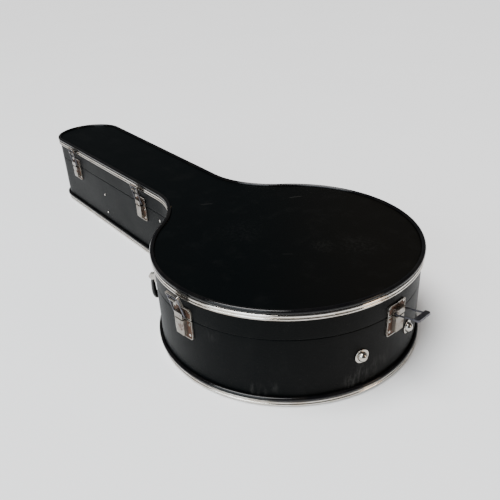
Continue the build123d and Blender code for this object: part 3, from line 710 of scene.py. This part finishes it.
def lid_pad():
    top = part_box("lid_top_lining")[1].z - 0.2 * MM
    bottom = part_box("lid_top_lining")[0].z

    def dents(co):
        return 0.5 * MM * max(0.0, noise.noise(Vector((co.x * 18, co.y * 18, 7.0)))) * (co.z < top - 2 * MM)
    rows = [(0, top), (0, bottom + 1.8 * MM), (0.8 * MM, bottom + 0.6 * MM), (2.4 * MM, bottom + 0.1 * MM),
            (6 * MM, bottom)]
    return filled_outline("lid_top_pad", WALL_INNER_INSET + 0.2 * MM, rows, cell=0.02, lift=dents)


def lid_wall_pad():
    low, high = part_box("lid_wall_lining")[0].z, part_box("lid_wall_lining")[1].z
    back = -WALL_INNER_INSET - 0.15 * MM
    front = -13.6 * MM
    roll = (back - front) / 2
    profile = [(back, high), (back, low + roll)]
    profile += arc_points((back - roll, low + roll), roll, -20, -180, 7)
    profile += [(front, low + (high - low) * 0.5), (front, high)]
    return sweep("lid_wall_pad", profile, 6 * MM)


def block_from_profile(name, profile, start, stop):
    """Prism along X from a closed (y, z) profile."""
    count = len(profile)
    verts = [(x, y, z) for x in (start, stop) for y, z in profile]
    faces = [tuple(range(count)), tuple(range(count, 2 * count))]
    for i in range(count):
        j = (i + 1) % count
        faces.append((i, j, count + j, count + i))
    return new_object(name, verts, faces)


def cradle_pad():
    """Neck rest: an upholstered block with a rounded notch."""
    low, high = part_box("neck_cradle")
    low = low + Vector((0.3, 0.8, 0.2)) * MM
    high = high - Vector((0.3, 0.8, 0.0)) * MM
    notch, notch_bottom, corner = 27 * MM, 40 * MM, 14 * MM
    profile = [(high.y, low.z), (high.y, high.z), (notch, high.z)]
    profile += arc_points((notch - corner, notch_bottom + corner), corner, 0, -90, 8)
    profile += arc_points((corner - notch, notch_bottom + corner), corner, -90, -180, 8)
    profile += [(-notch, high.z), (low.y, high.z), (low.y, low.z)]
    pad = block_from_profile("neck_cradle_pad", profile, low.x, high.x)
    bevel(pad, 4.5 * MM, 5, 40)
    return pad


def accessory_tray():
    """Upholstered open box with soft upper edges."""
    low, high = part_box("accessory_box")
    wall = 4 * MM
    corners = [(low.x, low.y), (high.x, low.y), (high.x, high.y), (low.x, high.y)]
    inner = [(low.x + wall, low.y + wall), (high.x - wall, low.y + wall),
             (high.x - wall, high.y - wall), (low.x + wall, high.y - wall)]
    verts = [(x, y, low.z) for x, y in corners] + [(x, y, high.z) for x, y in corners]
    verts += [(x, y, high.z) for x, y in inner] + [(x, y, low.z + 2 * MM) for x, y in inner]
    faces = [(0, 1, 2, 3), (12, 13, 14, 15)]
    for i in range(4):
        j = (i + 1) % 4
        for a, b in ((0, 4), (4, 8), (8, 12)):
            faces.append((a + i, a + j, b + j, b + i))
    tray = new_object("accessory_tray", verts, faces)
    bevel(tray, 1.6 * MM, 4, 40)
    return tray


def accessory_flap():
    """Covered flap with rounded free corners."""
    low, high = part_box("accessory_lid")
    corner = 8 * MM
    outline = [(low.x, high.y), (low.x, low.y)]
    outline += arc_points((high.x - corner, low.y + corner), corner, -90, 0, 7)
    outline += arc_points((high.x - corner, high.y - corner), corner, 0, 90, 7)
    count = len(outline)
    verts = [(x, y, low.z) for x, y in outline] + [(x, y, high.z) for x, y in outline]
    faces = [tuple(range(count)), tuple(range(count, 2 * count))]
    for i in range(count):
        j = (i + 1) % count
        faces.append((i, j, count + j, count + i))
    flap = new_object("accessory_flap_cover", verts, faces)
    bevel(flap, 1.2 * MM, 4, 40)
    return flap


def pull_ribbon():
    """Folded ribbon loop on the flap."""
    low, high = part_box("accessory_pull_tab")
    thickness = 0.35 * MM
    middle = (low.z + high.z) / 2
    length = high.x - low.x
    path = []
    for i in range(25):
        share = i / 24
        path.append(Vector((low.x + length * share, 0, low.z + 0.05 * MM + 0.25 * MM * share)))
    verts, faces = [], []
    for p in path:
        for y in (low.y, low.y / 3, high.y / 3, high.y):
            verts.append((p.x, y, p.z))
        for y in (high.y, high.y / 3, low.y / 3, low.y):
            verts.append((p.x, y, min(p.z + thickness, middle + thickness)))
    for i in range(len(path) - 1):
        for k in range(8):
            m = (k + 1) % 8
            faces.append((i * 8 + k, i * 8 + m, i * 8 + 8 + m, i * 8 + 8 + k))
    last = (len(path) - 1) * 8
    faces.append(tuple(range(8)))
    faces.append(tuple(range(last, last + 8)))
    tab = new_object("pull_ribbon", verts, faces)
    sharpen(tab, 50)
    return tab


for pad, body, node, fill in (
    (wall_pad(), "base", "base_wall_lining", 0.8),
    (floor_pad(), "base", "base_floor_lining", 0.7),
    (lid_pad(), "lid", "lid_top_lining", 0.7),
    (lid_wall_pad(), "lid", "lid_wall_lining", 0.7),
    (cradle_pad(), "base", "neck_cradle", 0.9),
):
    finish_piece(pad, PLUSH, body, "plush", node)
finish_piece(accessory_tray(), PLUSH, "base", "plush", "accessory_box")
finish_piece(accessory_flap(), PLUSH, "accessory_flap", "plush", "accessory_lid")
finish_piece(pull_ribbon(), RIBBON, "accessory_flap", "ribbon", "accessory_pull_tab")


# ---------------------------------------------------------------- handle
HANDLE_ANGLE = math.radians(43)
HANDLE_OUT = COVER_RADIUS + 4.8 * MM
HANDLE_PIVOT_Z = 92 * MM
HANDLE_DROP = 45 * MM
HANDLE_HALF = 40 * MM
HANDLE_CORNER = 22 * MM
GRIP_START = 7.5 * MM
STITCH_INWARDS = 5.2 * MM                            # seam, from the grip's centre line to the wrist side
STITCH_OUTWARDS = 2.3 * MM


def handle_matrix():
    """x along the wall, y up, z outwards; origin on the handle's pivot line."""
    out = Vector((math.cos(HANDLE_ANGLE), math.sin(HANDLE_ANGLE), 0))
    along = Vector((0, 0, 1)).cross(out)
    place = out * HANDLE_OUT + Vector((0, 0, HANDLE_PIVOT_Z))
    return Matrix((
        (along.x, 0, out.x, place.x),
        (along.y, 0, out.y, place.y),
        (0, 1, 0, place.z),
        (0, 0, 0, 1),
    ))


def handle_path(count):
    """Centre line of the grip: a U that hangs from just below the pivots."""
    corner = HANDLE_CORNER
    arm = [-GRIP_START - (HANDLE_DROP - corner - GRIP_START) * i / 4 for i in range(4)]
    middle = HANDLE_HALF - corner
    path = [Vector((-HANDLE_HALF, y, 0)) for y in arm]
    near = arc_points((-middle, -HANDLE_DROP + corner), corner, 180, 270, count)
    far = arc_points((middle, -HANDLE_DROP + corner), corner, 270, 360, count)
    path += [Vector((x, y, 0)) for x, y in near]
    path += [Vector((-middle + 2 * middle * i / 10, -HANDLE_DROP, 0)) for i in range(1, 10)]
    path += [Vector((x, y, 0)) for x, y in far]
    path += [Vector((HANDLE_HALF, y, 0)) for y in reversed(arm)]
    return path


def tube(name, path, radii, sides=20, flat_normal=Vector((0, 0, 1))):
    """Tube along a planar path.  radii gives (in-plane, out-of-plane) half sizes at each point."""
    verts, faces = [], []
    for i, point in enumerate(path):
        before, after = path[max(i - 1, 0)], path[min(i + 1, len(path) - 1)]
        tangent = (after - before).normalized()
        side = tangent.cross(flat_normal).normalized()
        a, b = radii(i / (len(path) - 1))
        for k in range(sides):
            t = 2 * math.pi * k / sides
            verts.append(point + side * a * math.cos(t) + flat_normal * b * math.sin(t))
    for i in range(len(path) - 1):
        for k in range(sides):
            m = (k + 1) % sides
            faces.append((i * sides + k, i * sides + m, (i + 1) * sides + m, (i + 1) * sides + k))
    last = (len(path) - 1) * sides
    faces.append(tuple(range(sides)))
    faces.append(tuple(range(last, last + sides)))
    return new_object(name, verts, faces)


def grip():
    """Padded leather grip, fullest in the middle and pinched at its ends."""
    def radii(share):
        swell = math.sin(math.pi * share) ** 0.35
        return 3.6 * MM + 2.3 * MM * swell, 2.9 * MM + 0.95 * MM * swell
    piece = tube("handle_padding", handle_path(8), radii, 24)
    place_object(piece, handle_matrix())
    return piece


def grip_stitches():
    """Saddle stitches along the inner edge of the grip."""
    path = handle_path(8)
    total = len(path) - 1
    pieces = []
    for i in range(3, total - 2):
        a, b = path[i], path[i + 1]
        tangent = (b - a).normalized()
        seam = Vector((0, 0, 1)).cross(tangent) * STITCH_INWARDS + Vector((0, 0, STITCH_OUTWARDS))
        for share in (0.1, 0.6):
            pieces.append((a.lerp(b, share) + seam, a.lerp(b, share + 0.32) + seam))
    verts, faces = [], []
    for start, stop in pieces:
        base = len(verts)
        along = (stop - start)
        across = Vector((0, 0, 1)).cross(along).normalized()
        for share, size in ((0, 0.12), (0.25, 0.32), (0.75, 0.32), (1, 0.12)):
            centre = start + along * share
            for k in range(6):
                t = 2 * math.pi * k / 6
                verts.append(centre + (across * math.cos(t) + Vector((0, 0, 1)) * math.sin(t)) * size * MM)
        for row in range(3):
            for k in range(6):
                m = (k + 1) % 6
                a, b = base + row * 6, base + row * 6 + 6
                faces.append((a + k, a + m, b + m, b + k))
        faces.append(tuple(range(base, base + 6)))
        faces.append(tuple(range(base + 18, base + 24)))
    piece = new_object("handle_stitches", verts, faces)
    place_object(piece, handle_matrix())
    return piece


padding = finish_piece(grip(), GRIP, "handle", "grip", "handle_grip")
finish_piece(grip_stitches(), THREAD, "handle", "grip")
repaint(HARDWARE, "handle_frame", "handle_bracket_front", "handle_bracket_rear", "handle_pins",
        "neck_rivets", "base_latch_rivets", "lid_latch_rivets", "hinge_pins")
repaint(BUMPER, "end_bumpers")
for number in (1, 2):
    repaint(HINGE, f"hinge_base_leaf_{number}", f"hinge_lid_leaf_{number}")
for half in ("base", "lid"):
    finish_piece(hinge_rivets(half), HARDWARE, half, "hardware")


def stand_off(spot, normal, offset):
    """How far a point stands out of the covered wall beside a latch; normal is None on the round body."""
    if normal is None:
        return math.hypot(spot.x, spot.y) - COVER_RADIUS
    return spot.x * normal.x + spot.y * normal.y - offset


def stain_recess(node, normal, offset):
    """Give the sunken sheet of a latch plate the worn material, inside its bright rim."""
    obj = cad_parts[node]
    obj.data.materials.append(LATCH_WORN)
    worn = len(obj.data.materials) - 1
    for polygon in obj.data.polygons:
        corners = [obj.matrix_world @ obj.data.vertices[i].co for i in polygon.vertices]
        if all(stand_off(corner, normal, offset) < 1.5 * MM for corner in corners):
            polygon.material_index = worn


neck_place, neck_normal = wall_place(500 * MM)
neck_offset = neck_place.dot(neck_normal)
for number, normal in ((1, None), (2, None), (3, neck_normal), (4, neck_normal)):
    plates = (f"latch_hook_plate_{number}", f"latch_lid_plate_{number}")
    repaint(LATCH, *plates, f"latch_bail_pan_{number}")
    repaint(WIRE, f"latch_bail_wire_{number}")
    for node in plates:
        stain_recess(node, normal, neck_offset)
        bevel(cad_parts[node], 0.25 * MM, 2)
    bevel(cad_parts[f"latch_bail_pan_{number}"], 0.35 * MM, 2)
repaint(WIRE, "latch_bail_pan_2")
for node in ("handle_bracket_front", "handle_bracket_rear", "handle_frame"):
    bevel(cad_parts[node], 0.4 * MM, 2)
for number in (1, 2):
    for half in ("base", "lid"):
        bevel(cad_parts[f"hinge_{half}_leaf_{number}"], 0.25 * MM, 2)


# ---------------------------------------------------------------- camera, floor and light
def look_from(position, target, roll=0.0):
    """Camera matrix that looks from position to target, rolled about its view line."""
    forward = (target - position).normalized()
    right = forward.cross(Vector((0, 0, 1))).normalized()
    up = right.cross(forward)
    c, s = math.cos(roll), math.sin(roll)
    right, up = right * c + up * s, up * c - right * s
    back = -forward
    return Matrix((
        (right.x, up.x, back.x, position.x),
        (right.y, up.y, back.y, position.y),
        (right.z, up.z, back.z, position.z),
        (0, 0, 0, 1),
    ))


CAMERA_TARGET = Vector((224.5, -95.1, 0)) * MM
CAMERA_DISTANCE = 1138.6 * MM
CAMERA_AZIMUTH = math.radians(144.05)
CAMERA_HEIGHT = math.radians(28.48)
CAMERA_ROLL = math.radians(-2.80)
CAMERA_LENS = 40.76
CAMERA_SENSOR = 36
camera_data = bpy.data.cameras.new("camera")
camera_data.lens = CAMERA_LENS
camera_data.sensor_width = CAMERA_SENSOR
camera = bpy.data.objects.new("camera", camera_data)
bpy.context.scene.collection.objects.link(camera)
towards = Vector((math.cos(CAMERA_AZIMUTH) * math.cos(CAMERA_HEIGHT),
                  math.sin(CAMERA_AZIMUTH) * math.cos(CAMERA_HEIGHT), math.sin(CAMERA_HEIGHT)))
camera.matrix_world = look_from(CAMERA_TARGET + towards * CAMERA_DISTANCE, CAMERA_TARGET, CAMERA_ROLL)
bpy.context.scene.camera = camera


def area_light(name, position, target, size, power, color):
    data = bpy.data.lights.new(name, "AREA")
    data.shape = "RECTANGLE"
    data.size, data.size_y = size
    data.energy = power
    data.color = color
    light = bpy.data.objects.new(name, data)
    bpy.context.scene.collection.objects.link(light)
    light.matrix_world = look_from(Vector(position), Vector(target))
    return light


floor_mesh = bpy.data.meshes.new("floor")
floor_bm = bmesh.new()
bmesh.ops.create_grid(floor_bm, x_segments=4, y_segments=4, size=30)
floor_bm.to_mesh(floor_mesh)
floor_bm.free()
floor = bpy.data.objects.new("floor", floor_mesh)
floor.location.z = -0.2 * MM
bpy.context.scene.collection.objects.link(floor)
floor_shader = Shader("floor")
floor_color = floor_shader.mix(floor_shader.noise(2, 2), (0.93, 0.93, 0.93, 1), (0.90, 0.90, 0.90, 1))
floor.data.materials.append(floor_shader.set(color=floor_color, roughness=0.9, specular=0.1))

area_light("window", (-0.6, 3.0, 1.6), (0.1, 0.1, 0), (2.6, 1.8), 85, (0.82, 0.93, 1.0))
area_light("right", (-3.2, -1.6, 1.5), (0, 0, 0.05), (1.0, 1.2), 24, (1.0, 0.78, 0.58))

sky_data = bpy.data.lights.new("sky", "SUN")
sky_data.energy = 5.2
sky_data.angle = math.radians(35)
sky = bpy.data.objects.new("sky", sky_data)
bpy.context.scene.collection.objects.link(sky)
sky.matrix_world = look_from(Vector((0.3, 1.0, 3.2)), Vector((0, 0, 0)))

world = bpy.data.worlds.new("studio")
world.use_nodes = True
world.node_tree.nodes["Background"].inputs["Color"].default_value = (0.95, 0.97, 1, 1)
world.node_tree.nodes["Background"].inputs["Strength"].default_value = 0.11
bpy.context.scene.world = world
